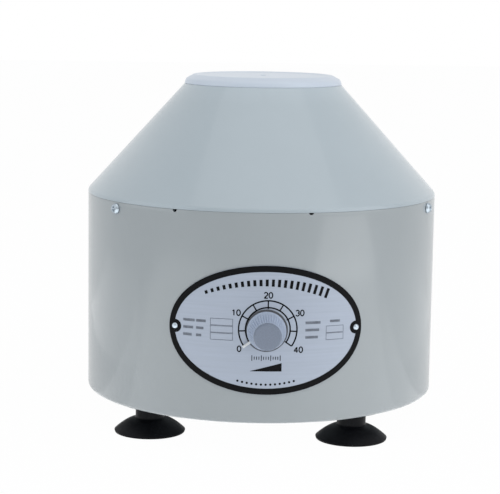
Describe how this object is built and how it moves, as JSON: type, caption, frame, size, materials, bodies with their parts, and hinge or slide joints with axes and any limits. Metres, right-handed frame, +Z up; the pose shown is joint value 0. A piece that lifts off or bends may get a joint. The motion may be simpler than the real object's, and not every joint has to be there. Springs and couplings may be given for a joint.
{
  "type": "benchtop centrifuge",
  "caption": "Benchtop centrifuge: painted steel drum and cone on suction feet, with a lift-off lid over an angle rotor for tubes, a motor below it and a speed knob on an oval dial plate.",
  "frame": {"origin": "on the table, under the rotor's axis", "axes": "+Z up, the dial faces -Y, +X to its right"},
  "size_m": [0.24, 0.2836, 0.2372],
  "materials": {
    "drum_paint": "semi-gloss grey powder coat",
    "cone_paint": "semi-gloss pale grey powder coat",
    "lid_plastic": "pale translucent plastic, smooth",
    "foot_rubber": "black rubber with a soft sheen",
    "plate_aluminium": "brushed aluminium with black print",
    "bright_zinc": "bright zinc plate",
    "knob_silver": "satin silver-grey",
    "pointer_white": "white",
    "base_steel": "bare galvanised sheet",
    "motor_steel": "grey enamel",
    "cast_aluminium": "fine cast and turned",
    "core_iron": "stacked laminations",
    "copper_wire": "lacquered copper wire",
    "yellow_brass": "plain brass",
    "carbon": "pressed carbon",
    "polished_steel": "ground steel",
    "board_green": "green lacquer",
    "black_plastic": "moulded",
    "film_yellow": "potted film capacitor"
  },
  "bodies": {
    "housing": {"drum_shell": "drum_paint", "cone_cover": "cone_paint", "chamber_floor": "cone_paint", "front_left_foot": "foot_rubber", "front_right_foot": "foot_rubber", "rear_right_foot": "foot_rubber", "rear_left_foot": "foot_rubber", "dampers": "foot_rubber", "dial_plate": "plate_aluminium", "base_screws": "bright_zinc", "cone_screws": "bright_zinc", "foot_screws": "bright_zinc", "foot_nuts": "bright_zinc", "dial_rivets": "bright_zinc", "pot_nut": "bright_zinc", "pillars": "bright_zinc", "pillar_screws": "bright_zinc", "damper_screws": "bright_zinc", "motor_screws": "bright_zinc", "board_screws": "bright_zinc", "brush_springs": "bright_zinc", "base_plate": "base_steel", "potentiometer": "base_steel", "motor_can": "motor_steel", "motor_top_cap": "motor_steel", "motor_bottom_cap": "motor_steel", "heat_sink": "cast_aluminium", "field_core": "core_iron", "field_coils": "copper_wire", "brush_holders": "yellow_brass", "board_standoffs": "yellow_brass", "carbon_brushes": "carbon", "bearing_outer_rings": "polished_steel", "circuit_board": "board_green", "terminal_block": "board_green", "brush_caps": "black_plastic", "triac": "black_plastic", "cord_gland": "black_plastic", "gland_cap": "black_plastic", "gland_nut": "black_plastic", "filter_capacitor": "film_yellow"},
    "spindle": {"motor_shaft": "polished_steel", "bearing_inner_rings": "polished_steel", "armature_core": "core_iron", "armature_windings": "copper_wire", "commutator": "copper_wire", "rotor_head": "cast_aluminium", "rotor_nut": "polished_steel", "tube_sleeve_1": "cast_aluminium", "tube_sleeve_2": "cast_aluminium", "tube_sleeve_3": "cast_aluminium", "tube_sleeve_4": "cast_aluminium", "tube_sleeve_5": "cast_aluminium", "tube_sleeve_6": "cast_aluminium"},
    "knob": {"speed_knob": "knob_silver", "knob_pointer": "pointer_white", "knob_set_screw": "black_plastic", "pot_shaft": "polished_steel"},
    "lid": {"lid": "lid_plastic"}
  },
  "joints": [
    {"name": "lid_lift", "type": "slide", "parent": "housing", "child": "lid", "axis": [0, 0, 1], "range_m": [0, 0.12]},
    {"name": "rotor_spin", "type": "hinge", "parent": "housing", "child": "spindle", "pos_m": [0, 0, 0.19], "axis": [0, 0, 1], "continuous": true},
    {"name": "knob_turn", "type": "hinge", "parent": "housing", "child": "knob", "pos_m": [0, -0.13, 0.0815], "axis": [0, 1, 0], "range_deg": [0, 250]}
  ]
}
